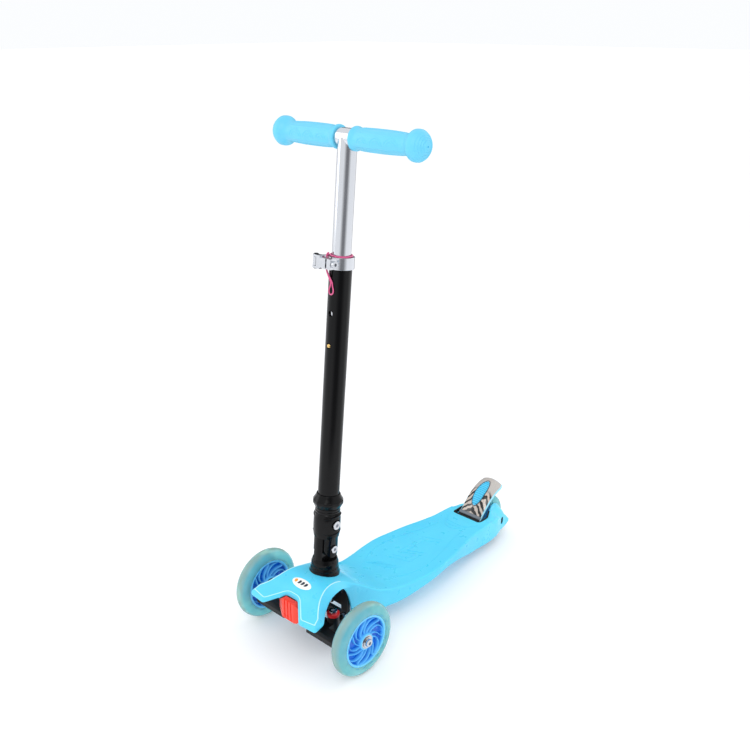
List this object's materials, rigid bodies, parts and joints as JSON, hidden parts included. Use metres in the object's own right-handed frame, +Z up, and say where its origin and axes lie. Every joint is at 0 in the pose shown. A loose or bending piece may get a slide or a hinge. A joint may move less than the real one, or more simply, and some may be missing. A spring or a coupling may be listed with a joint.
{
  "type": "kick scooter",
  "caption": "Child's three-wheel lean-to-steer kick scooter with a moulded deck, folding telescopic T-bar, translucent wheels and a fender foot brake.",
  "frame": {"origin": "on the ground, under the middle of the scooter's length and width", "axes": "+X to the rider's left, +Y to the rear, +Z up; the front faces -Y"},
  "size_m": [0.292, 0.5713, 0.8102],
  "materials": {
    "sky_plastic": "gloss moulded, light sky blue",
    "badge_white": "gloss sticker",
    "black_nylon": "satin glass-filled nylon",
    "black_gloss": "gloss black",
    "polished_alloy": "polished",
    "steel": "bright zinc",
    "black_steel": "black oxide",
    "red_plastic": "gloss",
    "red_urethane": "moulded urethane",
    "tyre_aqua": "translucent polyurethane",
    "rim_blue": "gloss moulded",
    "fender_print": "printed film under gloss",
    "pad_blue": "ribbed rubber",
    "lining": "moulded",
    "grip_foam": "soft moulded",
    "tether_pink": "braided cord",
    "brass": "bright"
  },
  "bodies": {
    "deck": {"deck": "sky_plastic", "badge": "badge_white", "deck_screws": "steel", "nose_frame": "black_nylon", "pivot_bolt": "steel", "stub_tube": "steel", "fold_base": "black_gloss", "fold_pivot_bolt": "steel", "rear_axle_bolt": "black_steel", "brake_pin": "steel", "brake_spring": "steel"},
    "release": {"release_button": "red_plastic", "release_spring": "steel"},
    "truck": {"axle_beam": "black_nylon", "pivot_bush": "red_urethane", "kingpins": "steel", "kingpin_washers": "red_urethane"},
    "knuckle_left": {"knuckle_left": "black_nylon", "axle_bolt_left": "steel", "link_pin_left": "steel"},
    "knuckle_right": {"knuckle_right": "black_nylon", "axle_bolt_right": "steel", "link_pin_right": "steel"},
    "tie_rod": {"tie_rod": "steel"},
    "wheel_left": {"tyre_left": "tyre_aqua", "rim_left": "rim_blue", "bearings_left": "steel"},
    "wheel_right": {"tyre_right": "tyre_aqua", "rim_right": "rim_blue", "bearings_right": "steel"},
    "wheel_rear": {"tyre_rear": "tyre_aqua", "rim_rear": "rim_blue", "bearings_rear": "steel"},
    "brake": {"brake_fender": "fender_print", "fender_hinge": "fender_print", "foot_pad": "pad_blue", "brake_lining": "lining"},
    "column": {"fold_barrel": "black_gloss", "lock_bolt": "steel", "lower_tube": "black_gloss", "guide_sleeve": "black_nylon", "clamp_ring": "polished_alloy", "clamp_bolt": "steel", "cam_block": "polished_alloy", "lever_pin": "black_steel", "tether_band": "tether_pink", "tether_loop": "tether_pink"},
    "collar": {"fold_collar": "black_gloss"},
    "lever": {"clamp_lever": "polished_alloy"},
    "upper": {"stem_tube": "polished_alloy", "stem_foot": "black_nylon", "tee_sleeve": "polished_alloy", "crossbar": "polished_alloy", "grip_left": "grip_foam", "grip_right": "grip_foam"},
    "snap": {"snap_button": "brass", "snap_spring": "steel"}
  },
  "joints": [
    {"name": "lean", "type": "hinge", "parent": "deck", "child": "truck", "pos_m": [0, -0.22035, 0.058], "axis": [0, 1, 0], "range_deg": [-10, 10], "stiffness_Nm_per_rad": 60},
    {"name": "steer_left", "type": "hinge", "parent": "truck", "child": "knuckle_left", "pos_m": [0.05, -0.22035, 0.06], "axis": [0, 0, 1], "range_deg": [-12, 12]},
    {"name": "steer_right", "type": "hinge", "parent": "truck", "child": "knuckle_right", "pos_m": [-0.05, -0.22035, 0.06], "axis": [0, 0, 1], "range_deg": [-12, 12]},
    {"name": "link_swing", "type": "hinge", "parent": "knuckle_left", "child": "tie_rod", "pos_m": [0.05, -0.19835, 0.049], "axis": [0, 0, 1], "range_deg": [-12, 12]},
    {"name": "spin_left", "type": "hinge", "parent": "knuckle_left", "child": "wheel_left", "pos_m": [0.1115, -0.22035, 0.06], "axis": [1, 0, 0], "continuous": true},
    {"name": "spin_right", "type": "hinge", "parent": "knuckle_right", "child": "wheel_right", "pos_m": [-0.1115, -0.22035, 0.06], "axis": [1, 0, 0], "continuous": true},
    {"name": "spin_rear", "type": "hinge", "parent": "deck", "child": "wheel_rear", "pos_m": [0, 0.24565, 0.04], "axis": [1, 0, 0], "continuous": true},
    {"name": "release_press", "type": "slide", "parent": "deck", "child": "release", "axis": [0, 1, 0], "range_m": [0, 0.005], "stiffness_N_per_m": 600, "springref_m": -0.003},
    {"name": "brake_press", "type": "hinge", "parent": "deck", "child": "brake", "pos_m": [0, 0.18765, 0.05], "axis": [-1, 0, 0], "range_deg": [0, 6], "stiffness_Nm_per_rad": 3, "springref_deg": -5.73},
    {"name": "fold", "type": "hinge", "parent": "deck", "child": "column", "pos_m": [0, -0.18604, 0.16302], "axis": [-1, 0, 0], "range_deg": [0, 80]},
    {"name": "collar_lift", "type": "slide", "parent": "column", "child": "collar", "axis": [0, 0.0941, 0.9956], "range_m": [0, 0.012], "stiffness_N_per_m": 300, "springref_m": -0.004},
    {"name": "bar_height", "type": "slide", "parent": "column", "child": "upper", "axis": [0, 0.0941, 0.9956], "range_m": [0, 0.049]},
    {"name": "clamp_open", "type": "hinge", "parent": "column", "child": "lever", "pos_m": [-0.026, -0.16823, 0.61711], "axis": [0, 0.0941, 0.9956], "range_deg": [0, 100]},
    {"name": "snap_press", "type": "slide", "parent": "upper", "child": "snap", "axis": [0, 0.9956, -0.0941], "range_m": [0, 0.004], "stiffness_N_per_m": 400, "springref_m": -0.002}
  ],
  "couplings": [
    {"joint": "steer_left", "follows": "lean", "ratio": -1.2},
    {"joint": "steer_right", "follows": "lean", "ratio": -1.2},
    {"joint": "link_swing", "follows": "lean", "ratio": 1.2}
  ]
}
